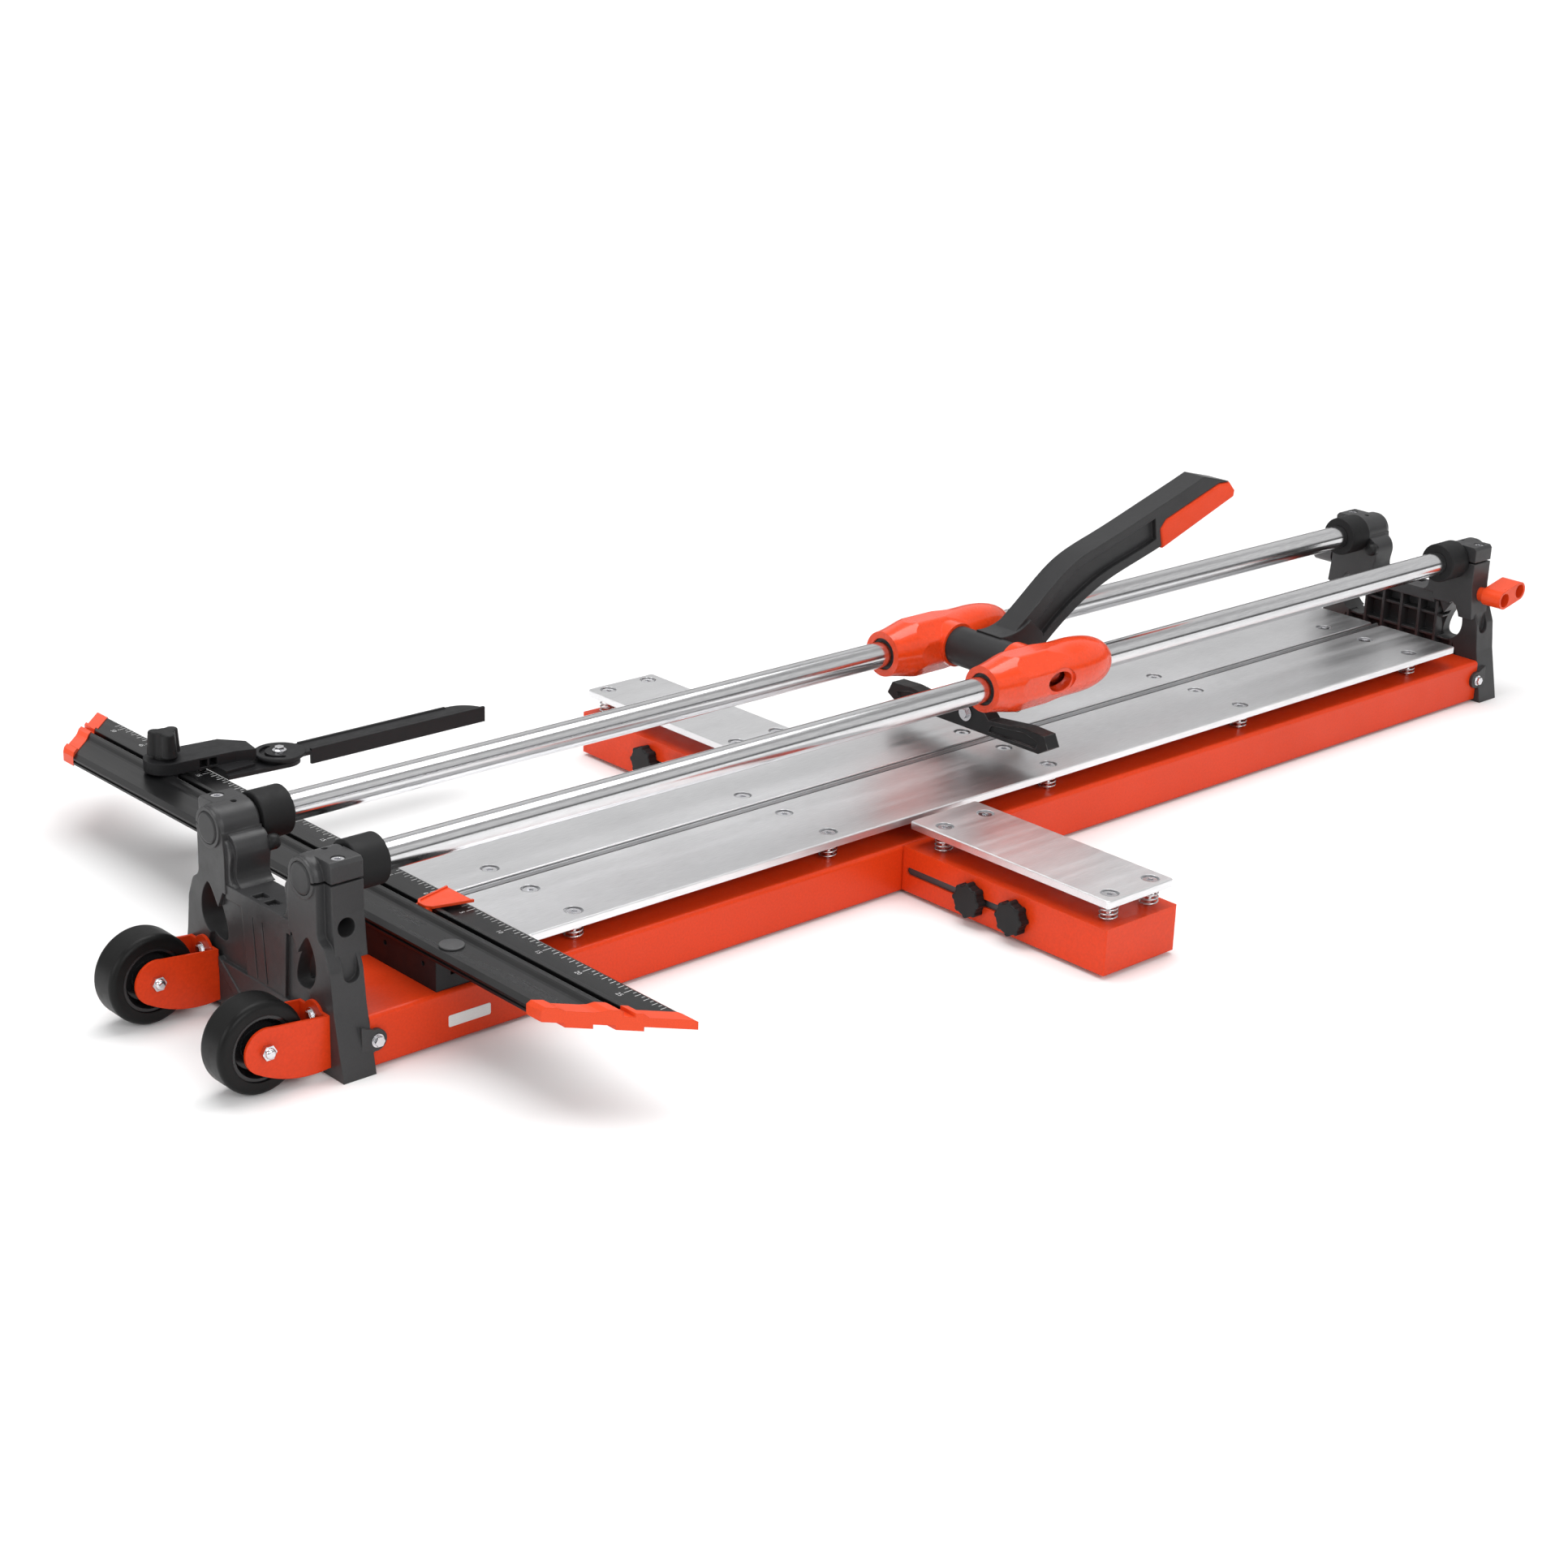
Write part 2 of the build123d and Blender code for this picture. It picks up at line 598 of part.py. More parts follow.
def fence():
    section_plane = Plane(origin=(fence_x, 560, fence_z), x_dir=(1, 0, 0), z_dir=(0, -1, 0))
    with BuildPart() as bar:
        with BuildSketch(section_plane):
            with BuildLine():
                Polyline(*fence_section(), close=True)
            make_face()
        extrude(amount=920)
        for end in (-1, 1):
            split(bisect_by=end_plane(end, 0), keep=Keep.BOTTOM)
        with BuildSketch(Plane.XY.offset(fence_z - 1)):
            with Locations((near_x + 112, -102)):
                Circle(7)
        extrude(amount=20, mode=Mode.SUBTRACT)
    save(bar, "fence_bar")

    cap_points = [(0, -1.5), (0, 7), (2.5, 10.4), (9, 10.8), (13, 8.4), (28, 8.4), (32, 9),
                  (36, 11.2), (42, 11.2), (43.5, 10.4), (43.5, 6.2), (50, 6.2), (50, 9.4),
                  (54, 9.4), (57.5, 6.2), (80.5, 6.2), (fence_width, 5), (fence_width, -1.5)]
    cap_solids = []
    for end in (-1, 1):
        with BuildPart() as cap:
            with BuildSketch(section_plane):
                with BuildLine():
                    Polyline(*cap_points, close=True)
                make_face()
                with Locations((20, -2.5), (47, -2.5)):
                    Rectangle(15, 5)
            extrude(amount=920)
            split(bisect_by=end_plane(end, 0.02), keep=Keep.TOP)
            split(bisect_by=end_plane(end, 13), keep=Keep.BOTTOM)
        cap_solids.append(cap.part)
    with BuildPart() as caps:
        for solid in cap_solids:
            add(solid)
    save(caps, "fence_end_caps")

    with BuildPart() as plug:
        with BuildSketch(Plane.XY.offset(fence_z + 1)):
            with Locations((near_x + 112, -102)):
                Circle(6.9)
        extrude(amount=7.5)
        with BuildSketch(Plane.XY.offset(fence_z + 7.65)):
            with Locations((near_x + 112, -102)):
                Circle(10.5)
        extrude(amount=1.4)
        fillet(plug.edges().sort_by(Axis.Z)[-1], radius=0.8)
    save(plug, "fence_plug")

    with BuildPart() as block:
        with BuildSketch(Plane.XY.offset(chassis_top)):
            with Locations((near_x + 112, 0)):
                Rectangle(34, 209)
        extrude(amount=fence_z - chassis_top)
        # blind holes in the face towards the frame
        for y in (-35.9, -87.4, 35.9, 87.4):
            with BuildSketch(Plane.YZ.offset(near_x + 94)):
                with Locations((y, 65)):
                    Circle(2.1)
            extrude(amount=9, mode=Mode.SUBTRACT)
        with BuildSketch(Plane.XZ.offset(-110)):
            with Locations((near_x + 117, fence_z - 9)):
                Rectangle(16, 13)
        extrude(amount=220, mode=Mode.SUBTRACT)
    save(block, "fence_block")

    with BuildPart() as clip:
        clip_z = fence_z + 8.7
        clip_y = -26.0
        slot_x = fence_x + 44.3
        tip_x = fence_x + fence_width
        with BuildSketch(Plane.XY.offset(clip_z)):
            with BuildLine():
                Polyline((slot_x + 4, clip_y - 10), (tip_x, clip_y - 19), (tip_x, clip_y + 19),
                         (slot_x + 4, clip_y + 10), (slot_x, clip_y + 5), (slot_x, clip_y - 5),
                         close=True)
            make_face()
        extrude(amount=1.2)
        with BuildSketch(Plane.XY.offset(clip_z + 1.2)):
            with BuildLine():
                Polyline((slot_x + 4, clip_y - 10), (tip_x, clip_y - 19), (tip_x, clip_y - 17),
                         (slot_x + 5, clip_y - 8), (slot_x + 2, clip_y - 4), (slot_x + 2, clip_y + 4),
                         (slot_x + 5, clip_y + 8), (tip_x, clip_y + 17), (tip_x, clip_y + 19),
                         (slot_x + 4, clip_y + 10), (slot_x, clip_y + 5), (slot_x, clip_y - 5),
                         close=True)
            make_face()
        extrude(amount=1.1)
        with BuildSketch(Plane.XY.offset(clip_z)):
            with Locations((fence_x + 46.75, clip_y)):
                Rectangle(4.7, 16)
        extrude(amount=-5)
    save(clip, "fence_clip")


# ------------------------------------------------------------------ lateral stop
def lateral_stop():
    shoe_z = fence_z + 10.2
    with BuildPart() as shoe:
        with BuildSketch(Plane.XY.offset(shoe_z)):
            with Locations((stop_x, stop_y)):
                Circle(20)
            with BuildLine():
                Polyline((stop_x, stop_y - 19.8), (stop_x + 58, stop_y - 24), (stop_x + 76, stop_y - 30),
                         (stop_x + 80, stop_y - 6), (stop_x + 62, stop_y + 14),
                         (stop_x, stop_y + 19.8), close=True)
            make_face()
        extrude(amount=11)
        # ear under the stop bar, and the ramp that joins it to the arm
        with BuildSketch(Plane.XY.offset(fence_z + 3)):
            with Locations((disc_x, disc_y)):
                Circle(19)
            with BuildLine():
                Polyline((fence_x + fence_width + 2, disc_y - 14), (disc_x, disc_y - 19),
                         (disc_x, disc_y + 19), (fence_x + fence_width + 2, disc_y + 34), close=True)
            make_face()
        extrude(amount=4)
        with BuildSketch(Plane.XY.offset(fence_z + 7)):
            with BuildLine():
                Polyline((fence_x + fence_width + 2, disc_y - 10), (stop_x + 70, disc_y - 8),
                         (stop_x + 70, disc_y + 22), (fence_x + fence_width + 2, disc_y + 34), close=True)
            make_face()
        extrude(amount=3.4)
        # ribbed pocket in the arm's side, the tongue in the T-slot, the stud hole
        with BuildSketch(Plane.XZ.offset(-(stop_y - 26))):
            with Locations((stop_x + 26, shoe_z + 5.5), (stop_x + 35.5, shoe_z + 5.5)):
                Rectangle(7.5, 7)
        extrude(amount=-14, mode=Mode.SUBTRACT)
        with BuildSketch(Plane.XY.offset(shoe_z)):
            with Locations((stop_x, stop_y)):
                Rectangle(4.8, 34)
        extrude(amount=-4.4)
        with BuildSketch(Plane.XY.offset(shoe_z + 12)):
            with Locations((stop_x, stop_y)):
                Circle(3 + running)
        extrude(amount=-22, mode=Mode.SUBTRACT)
        with BuildSketch(Plane.XY.offset(fence_z)):
            with Locations((disc_x, disc_y)):
                Circle(3.05)
        extrude(amount=12, mode=Mode.SUBTRACT)
    save(shoe, "lateral_stop_arm")

    with BuildPart() as knob:
        with BuildSketch(Plane.XY.offset(shoe_z + 11.3)):
            with Locations((stop_x, stop_y)):
                Circle(11)
        extrude(amount=3)
        with BuildSketch(Plane.XY.offset(shoe_z + 14.3)) as lobes:
            with Locations((stop_x, stop_y)):
                Circle(10.5)
                with PolarLocations(9.0, 3, start_angle=20):
                    Circle(7.5)
            fillet(lobes.vertices(), radius=3)
        extrude(amount=22, taper=4)
        fillet(knob.faces().sort_by(Axis.Z)[-1].edges(), radius=2)
        with BuildSketch(Plane.XY.offset(shoe_z + 12)):
            with Locations((stop_x, stop_y)):
                Circle(3)
        extrude(amount=-18.5)
    save(knob, "lateral_stop_knob")

    bar_z = fence_z + 7.3
    bar_end = near_x + 466.0
    with BuildPart() as bar:
        with BuildSketch(Plane.XY.offset(bar_z)):
            with BuildLine():
                Polyline((disc_x, disc_y - 12), (bar_end, disc_y - 12), (bar_end, disc_y - 5))
                Spline((bar_end, disc_y - 5), (bar_end - 8, disc_y + 7), (bar_end - 30, disc_y + 14))
                Polyline((bar_end - 30, disc_y + 14), (disc_x + 16, disc_y + 14), (disc_x, disc_y + 12),
                         (disc_x, disc_y - 12))
            make_face()
            with Locations((disc_x, disc_y)):
                Circle(19)
        extrude(amount=3.6)
        # deep edge towards the tile and a low rib along the back
        with BuildSketch(Plane.XY.offset(bed_top + 1)):
            with BuildLine():
                Polyline((disc_x + 27, disc_y - 12), (bar_end, disc_y - 12), (bar_end, disc_y - 9),
                         (disc_x + 27, disc_y - 9), close=True)
            make_face()
        extrude(amount=bar_z - bed_top + 4.6)
        with BuildSketch(Plane.XY.offset(bar_z)):
            with BuildLine():
                Polyline((disc_x + 28, disc_y + 11), (bar_end - 30, disc_y + 11),
                         (bar_end - 30, disc_y + 14), (disc_x + 28, disc_y + 14), close=True)
            make_face()
        extrude(amount=4.6)
        with BuildSketch(Plane.XY.offset(bar_z - 1)):
            with Locations((disc_x, disc_y)):
                Circle(3 + running)
        extrude(amount=8, mode=Mode.SUBTRACT)
    save(bar, "stop_bar")

    disc_z = bar_z + 3.65
    with BuildPart() as disc:
        with BuildSketch(Plane.XY.offset(disc_z)):
            with Locations((disc_x, disc_y)):
                Circle(24)
                Circle(3 + running, mode=Mode.SUBTRACT)
        extrude(amount=2.6)
        with BuildSketch(Plane.XY.offset(disc_z - 1)):
            with Locations((disc_x, disc_y)):
                SlotArc(CenterArc((0, 0), 16, 100, 150), 5)
        extrude(amount=6, mode=Mode.SUBTRACT)
        chamfer(disc.faces().sort_by(Axis.Z)[-1].edges().sort_by(SortBy.LENGTH)[-1], length=0.8)
    save(disc, "protractor_disc")

    with BuildPart() as screw:
        with BuildSketch(Plane.XY.offset(fence_z + 3)):
            with Locations((disc_x, disc_y)):
                Circle(3)
        extrude(amount=11)
        with BuildSketch(Plane.XY.offset(disc_z + 2.65)):
            with Locations((disc_x, disc_y)):
                Circle(6.5)
        extrude(amount=1.2)
        with BuildSketch(Plane.XY.offset(disc_z + 3.8)):
            with Locations((disc_x, disc_y)):
                RegularPolygon(4.6, 6)
        extrude(amount=3)
    save(screw, "stop_pivot_screw")


# ------------------------------------------------------------------ carriage
def sleeve(side):
    """One sleeve of the carriage: a waisted barrel on the rail with a collar for the cross tube."""
    outline = [(741, 22), (757, 24.5), (783, 29.5), (812, 29), (836, 27), (862, 27), (883, 25),
               (897, 20.5), (904, 15.8)]
    start = near_x + outline[0][0]
    end = near_x + outline[-1][0]
    with BuildPart() as body:
        with BuildSketch(Plane(origin=(0, side * rail_y, rail_z), x_dir=(1, 0, 0), z_dir=(0, -1, 0))):
            with BuildLine():
                ends = [(near_x + x, r) for x, r in outline]
                upper = Spline(*ends)
                Polyline(ends[-1], (end, 0), (start, 0), ends[0])
            make_face()
        revolve(axis=Axis((0, side * rail_y, rail_z), (1, 0, 0)))
        # the swelling is trimmed to a rounded eight-sided section
        with BuildSketch(Plane.YZ.offset(start)) as trim:
            with Locations((side * rail_y, rail_z)):
                RegularPolygon(27, 8, major_radius=False, rotation=22.5)
            fillet(trim.vertices(), radius=7)
        extrude(amount=end - start, mode=Mode.INTERSECT)
        with BuildSketch(Plane.XZ.offset(-side * (tube_end + 0.4))):
            with Locations((pivot_x, pivot_z)):
                Circle(21.5)
        extrude(amount=-side * 18)
        with BuildSketch(Plane.YZ.offset(start - 1)):
            with Locations((side * rail_y, rail_z)):
                Circle(15.5)
        extrude(amount=end - start + 2, mode=Mode.SUBTRACT)
        with BuildSketch(Plane.XZ.offset(-side * (tube_end - 2))):
            with Locations((pivot_x, pivot_z)):
                Circle(axle_r + 0.02)
        extrude(amount=-side * 16, mode=Mode.SUBTRACT)
        # oval window in the outer side, in a shallow dish
        with BuildSketch(Plane.XZ.offset(-side * (rail_y + 24.6))):
            with Locations((near_x + 822, rail_z - 2)):
                Ellipse(19, 13)
        extrude(amount=-side * 30, mode=Mode.SUBTRACT)
        with BuildSketch(Plane.XZ.offset(-side * (rail_y + 5))):
            with Locations((near_x + 822, rail_z - 2)):
                Ellipse(15.5, 9.5)
        extrude(amount=-side * 30, mode=Mode.SUBTRACT)
    return body


def carriage():
    save(sleeve(-1), "sleeve_right")
    save(sleeve(1), "sleeve_left")

    with BuildPart() as bushes:
        for side in (-1, 1):
            for x in (near_x + 743, near_x + 872):
                with BuildSketch(Plane.YZ.offset(x)):
                    with Locations((side * rail_y, rail_z)):
                        Circle(15.45)
                        Circle(rail_d / 2 + running, mode=Mode.SUBTRACT)
                extrude(amount=30)
    save(bushes, "slide_bushes")

    with BuildPart() as axle:
        with BuildSketch(Plane.XZ.offset(-49)):
            with Locations((pivot_x, pivot_z)):
                Circle(axle_r)
        extrude(amount=98)
    save(axle, "cross_axle")


# ------------------------------------------------------------------ lever
# points of the lever's side view: distance along X from the wheel end frame, height
lever_top = [(833, 174), (852, 187), (874, 203), (917, 232), (968, 248.5), (1040, 270), (1107, 291)]
lever_bottom = [(1157, 266), (1104, 248), (1052, 230), (1010, 218.5), (967, 206), (930, 189),
                (900, 170), (876, 152)]
flute_top = [(868, 182), (890, 200), (923, 224), (972, 240), (1010, 251.5), (1036, 259)]
flute_bottom = [(1040, 237), (1006, 227), (962, 214.5), (926, 198), (896, 179), (880, 166)]


def lever():
    with BuildPart() as tube:
        with BuildSketch(Plane.XZ.offset(-tube_end)):
            with Locations((pivot_x, pivot_z)):
                Circle(tube_r)
                Circle(axle_r + running, mode=Mode.SUBTRACT)
        extrude(amount=2 * tube_end)
    save(tube, "cross_tube")

    grip_cut = [(1044, 247), (1052, 256), (1132, 281), (1150, 280), (1162, 270), (1160, 258), (1050, 222)]
    half = 13.0
    with BuildPart() as arm_piece:
        with BuildSketch(Plane.XZ.offset(-half)):
            with BuildLine():
                upper = Spline(*[(near_x + x, z) for x, z in lever_top])
                lower = Spline(*[(near_x + x, z) for x, z in lever_bottom])
                Polyline(upper @ 1, (near_x + 1146, 281), (near_x + 1157, 272), lower @ 0)
                Line(lower @ 1, upper @ 0)
            make_face()
        extrude(amount=2 * half)
        # deep flutes along both sides leave an I-shaped section
        for side in (-1, 1):
            with BuildSketch(Plane.XZ.offset(-side * (half - 5.5))):
                with BuildLine():
                    above = Spline(*[(near_x + x, z) for x, z in flute_top])
                    below = Spline(*[(near_x + x, z) for x, z in flute_bottom])
                    Line(above @ 1, below @ 0)
                    Line(below @ 1, above @ 0)
                make_face()
            extrude(amount=-side * 8, mode=Mode.SUBTRACT)
        with BuildSketch(Plane.XZ.offset(-half - 1)):
            with BuildLine():
                Polyline(*[(near_x + x, z) for x, z in grip_cut], close=True)
            make_face()
        extrude(amount=2 * half + 2, mode=Mode.SUBTRACT)
        # root that wraps the cross tube
        with BuildSketch(Plane.XZ.offset(-16)):
            with BuildLine():
                rise = Spline((pivot_x + 2, pivot_z + 20.5), (pivot_x + 22, pivot_z + 21),
                              (pivot_x + 44, pivot_z + 30))
                Polyline(rise @ 1, (pivot_x + 62, pivot_z + 14), (pivot_x + 58, pivot_z - 6),
                         (pivot_x + 14, pivot_z - 9), rise @ 0)
            make_face()
        extrude(amount=32)
        with BuildSketch(Plane.XZ.offset(-60)):
            with Locations((pivot_x, pivot_z)):
                Circle(tube_r)
        extrude(amount=120, mode=Mode.SUBTRACT)
    save(arm_piece, "lever")

    grip_outline = [(1045, 246.5), (1052.5, 255.4), (1132, 280.3), (1149, 279.3), (1158, 270), (1157, 263),
                    (1051, 226)]
    with BuildPart() as grip:
        with BuildSketch(Plane.XZ.offset(-14)):
            with BuildLine():
                Polyline(*[(near_x + x, z) for x, z in grip_outline], close=True)
            make_face()
        extrude(amount=28)
        fillet(grip.edges().filter_by(GeomType.LINE).filter_by(Axis.Y, reverse=True), radius=3)
    save(grip, "grip")


# ------------------------------------------------------------------ cutter and breaker
def cutter():
    with BuildPart() as holder:
        with BuildSketch(Plane.XZ.offset(-9)):
            with BuildLine():
                Polyline((pivot_x - 12, pivot_z - 10), (pivot_x + 12, pivot_z - 10),
                         (pivot_x + 18, pivot_z - 16), (pivot_x + 26, 122),
                         (cutter_x + 8, 110), (cutter_x + 8, cutter_z - 4), (cutter_x - 9, cutter_z - 4),
                         (pivot_x + 14, 104), (pivot_x + 3, 93), (pivot_x - 6.5, 93), (pivot_x - 6.5, 118),
                         (pivot_x - 14, 126), close=True)
            make_face()
        extrude(amount=18)
        with BuildSketch(Plane.XZ.offset(-60)):
            with Locations((pivot_x, pivot_z)):
                Circle(tube_r)
        extrude(amount=120, mode=Mode.SUBTRACT)
        with BuildSketch(Plane.XZ.offset(-2)):
            with Locations((cutter_x, cutter_z)):
                Circle(cutter_r + 2)
            with Locations((cutter_x, cutter_z - 8)):
                Rectangle(2 * cutter_r + 4, 16)
        extrude(amount=4, mode=Mode.SUBTRACT)
        with BuildSketch(Plane.XZ.offset(-20)):
            with Locations((cutter_x, cutter_z)):
                Circle(2.52)
        extrude(amount=40, mode=Mode.SUBTRACT)
        with BuildSketch(Plane.YZ.offset(foot_x)):
            with Locations((0, foot_axis_z)):
                Circle(3.02)
        extrude(amount=60, mode=Mode.SUBTRACT)
    save(holder, "cutter_holder")

    with BuildPart() as pin:
        with BuildSketch(Plane.XZ.offset(-11)):
            with Locations((cutter_x, cutter_z)):
                Circle(2.5)
        extrude(amount=22)
        for side in (-1, 1):
            with BuildSketch(Plane.XZ.offset(-side * 9.05)):
                with Locations((cutter_x, cutter_z)):
                    Circle(4)
            extrude(amount=-side * 2)
    save(pin, "cutter_pin")

    with BuildPart() as wheel:
        with BuildSketch(Plane.XZ.offset(-1.5)):
            with Locations((cutter_x, cutter_z)):
                Circle(cutter_r)
                Circle(2.5 + running, mode=Mode.SUBTRACT)
        extrude(amount=3)
        rim = wheel.edges().filter_by(lambda e: e.geom_type == GeomType.CIRCLE and e.radius > cutter_r - 1)
        chamfer(rim, length=1.4, length2=2.5)
    save(wheel, "scoring_wheel")

    right_wing = [(0, 88), (-95, 88), (-107, 95), (-101, 107), (-76, 108), (-30, 103), (-18, 114)]
    left_wing = [(-y, z) for y, z in reversed(right_wing[1:])]
    with BuildPart() as foot:
        with BuildSketch(Plane.YZ.offset(foot_x)):
            with BuildLine():
                Polyline(*(right_wing + left_wing), close=True)
            make_face()
        extrude(amount=16)
        for side in (-1, 1):
            with BuildSketch(Plane.YZ.offset(foot_x - 0.5)):
                with BuildLine():
                    Polyline((side * 30, 92), (side * 91, 92), (side * 94, 99), (side * 76, 103.5),
                             (side * 34, 99), close=True)
                make_face()
            extrude(amount=2.5, mode=Mode.SUBTRACT)
        with BuildSketch(Plane.YZ.offset(foot_x - 1)):
            with Locations((0, foot_axis_z)):
                Circle(3 + running)
        extrude(amount=20, mode=Mode.SUBTRACT)
    save(foot, "breaker_foot")

    with BuildPart() as bolt:
        with BuildSketch(Plane.YZ.offset(foot_x - 0.3)):
            with Locations((0, foot_axis_z)):
                Circle(8)
        extrude(amount=-1.4)
        with BuildSketch(Plane.YZ.offset(foot_x - 1.6)):
            with Locations((0, foot_axis_z)):
                RegularPolygon(5, 6)
        extrude(amount=-3.4)
        with BuildSketch(Plane.YZ.offset(foot_x - 1)):
            with Locations((0, foot_axis_z)):
                Circle(3)
        extrude(amount=32)
    save(bolt, "foot_bolt")


# ------------------------------------------------------------------ transport wheels
def wheels():
    inner_gap = 17.5
    plate = 2.5
    for side, name in ((-1, "right"), (1, "left")):
        y = side * wheel_y
        with BuildPart() as tyre:
            with BuildSketch(Plane.XZ.offset(-y - wheel_width / 2)):
                with Locations((wheel_x, wheel_z)):
                    Circle(wheel_r)
                    Circle(27, mode=Mode.SUBTRACT)
            extrude(amount=wheel_width)
            rim = tyre.edges().filter_by(lambda e: e.geom_type == GeomType.CIRCLE and e.radius > wheel_r - 1)
            fillet(rim, radius=5)
        save(tyre, f"wheel_tyre_{name}")
        with BuildPart() as hub:
            with BuildSketch(Plane(origin=(wheel_x, y, wheel_z), x_dir=(0, 1, 0), z_dir=(1, 0, 0))):
                with BuildLine():
                    Polyline((-wheel_width / 2 + 0.8, 4 + running), (wheel_width / 2 - 0.8, 4 + running),
                             (wheel_width / 2 - 0.8, 9), (4, 13), (4, 20), (wheel_width / 2 - 1.5, 24),
                             (wheel_width / 2 - 1.5, 26.95), (-wheel_width / 2 + 1.5, 26.95),
                             (-wheel_width / 2 + 1.5, 24), (-4, 20), (-4, 13),
                             (-wheel_width / 2 + 0.8, 9), close=True)
                make_face()
            revolve(axis=Axis((wheel_x, y, wheel_z), (0, 1, 0)))
        save(hub, f"wheel_hub_{name}")

    with BuildPart() as brackets:
        for side in (-1, 1):
            y = side * wheel_y
            for end in (-1, 1):
                offset_y = y + end * inner_gap
                with BuildSketch(Plane.XZ.offset(-offset_y)):
                    with BuildLine():
                        tip = ThreePointArc((wheel_x + 5, wheel_z + 18.3), (wheel_x - 19, wheel_z),
                                            (wheel_x - 8, wheel_z - 17.2))
                        belly = Spline(tip @ 1, (wheel_x + 14, 11.5), (wheel_x + 34, 7.5),
                                       (near_x - plate, 8))
                        Polyline(belly @ 1, (near_x - plate, 52), tip @ 0)
                    make_face()
                    with Locations((wheel_x, wheel_z)):
                        Circle(4.03, mode=Mode.SUBTRACT)
                extrude(amount=-end * plate)
            with BuildSketch(Plane.YZ.offset(near_x - plate - 0.02)):
                with Locations((y, 30)):
                    Rectangle(2 * (inner_gap + plate), 44)
                with Locations((y, 46)):
                    Circle(12)
            extrude(amount=plate)
            with BuildSketch(Plane.YZ.offset(near_x - plate - 2)):
                with Locations((y, 46)):
                    Circle(3.1)
            extrude(amount=plate + 4, mode=Mode.SUBTRACT)
    save(brackets, "wheel_brackets")

    with BuildPart() as axles:
        for side in (-1, 1):
            y = side * wheel_y
            reach = inner_gap + plate
            with BuildSketch(Plane.XZ.offset(-y - reach - 1)):
                with Locations((wheel_x, wheel_z)):
                    Circle(4)
            extrude(amount=2 * reach + 2)
            for end in (-1, 1):
                with BuildSketch(Plane.XZ.offset(-y - end * (reach + 0.05))):
                    with Locations((wheel_x, wheel_z)):
                        RegularPolygon(6.4, 6)
                extrude(amount=-end * 4)
                with BuildSketch(Plane.XZ.offset(-y - end * (reach + 4))):
                    with Locations((wheel_x, wheel_z)):
                        Circle(4.4)
                extrude(amount=-end * 3.4)
        caps_faces = axles.faces().filter_by(Axis.Y).filter_by(lambda f: f.area < 62 and f.area > 60)
        fillet(caps_faces.edges(), radius=2.6)
    save(axles, "wheel_axles")

    with BuildPart() as bracket_screws:
        for side in (-1, 1):
            with BuildSketch(Plane.YZ.offset(near_x - plate - 0.05)):
                with Locations((side * wheel_y, 46)):
                    Circle(6.5)
            extrude(amount=-2)
            with BuildSketch(Plane.YZ.offset(near_x - plate - 2)):
                with Locations((side * wheel_y, 46)):
                    RegularPolygon(4.4, 6)
            extrude(amount=-3)
    save(bracket_screws, "bracket_screws")


# ------------------------------------------------------------------ wing knobs of the far frame
def wing_knobs():
    x = far_x - side_hole_x
    for side, name in ((-1, "right"), (1, "left")):
        with BuildPart() as knob:
            with BuildSketch(Plane.XZ.offset(-side * 70)):
                with Locations((x, side_hole_z)):
                    Circle(side_hole_r - 0.1)
            extrude(amount=-side * 32)
            with BuildSketch(Plane.XZ.offset(-side * 101.5)):
                with Locations((x + 13.5, side_hole_z + 3)):
                    SlotOverall(48, 20, rotation=12.5)
            extrude(amount=-side * 24)
            with BuildSketch(Plane.XZ.offset(-side * 127)):
                with Locations((x, side_hole_z), (x + 27, side_hole_z + 6)):
                    Circle(7.6)
            extrude(amount=side * 18, mode=Mode.SUBTRACT)
        save(knob, f"wing_knob_{name}")


frames()
frame_fasteners()
rails()
chassis()
bed()
arms()
fence()
lateral_stop()
carriage()
lever()
cutter()
wheels()
wing_knobs()
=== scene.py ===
import json
import math

import bmesh
import bpy
from mathutils import Matrix, Vector


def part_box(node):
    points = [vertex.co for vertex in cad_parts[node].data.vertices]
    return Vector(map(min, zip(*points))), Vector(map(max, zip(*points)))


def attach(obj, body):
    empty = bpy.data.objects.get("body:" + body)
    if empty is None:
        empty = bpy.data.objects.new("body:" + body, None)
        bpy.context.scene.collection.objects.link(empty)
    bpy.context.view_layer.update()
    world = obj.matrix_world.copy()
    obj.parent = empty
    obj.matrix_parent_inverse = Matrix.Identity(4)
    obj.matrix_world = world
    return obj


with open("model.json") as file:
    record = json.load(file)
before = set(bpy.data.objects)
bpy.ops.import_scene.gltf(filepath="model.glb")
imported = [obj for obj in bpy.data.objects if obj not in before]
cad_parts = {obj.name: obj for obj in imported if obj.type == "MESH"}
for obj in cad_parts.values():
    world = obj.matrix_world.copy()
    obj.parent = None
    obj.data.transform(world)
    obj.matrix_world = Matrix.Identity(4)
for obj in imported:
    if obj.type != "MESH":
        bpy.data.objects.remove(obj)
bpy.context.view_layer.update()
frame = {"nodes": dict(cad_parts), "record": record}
bpy.context.scene.view_settings.view_transform = "Standard"

NODES = frame["nodes"]


# ------------------------------------------------------------------ materials
def link(tree, a, b):
    """Joins an output socket to an input socket."""
    tree.links.new(a, b)


def remap(tree, value, low, high, to_low, to_high):
    """A clamped linear map of a value from one range to another; returns its output socket."""
    node = tree.nodes.new("ShaderNodeMapRange")
    node.inputs["From Min"].default_value = low
    node.inputs["From Max"].default_value = high
    node.inputs["To Min"].default_value = to_low
    node.inputs["To Max"].default_value = to_high
    link(tree, value, node.inputs["Value"])
    return node.outputs["Result"]


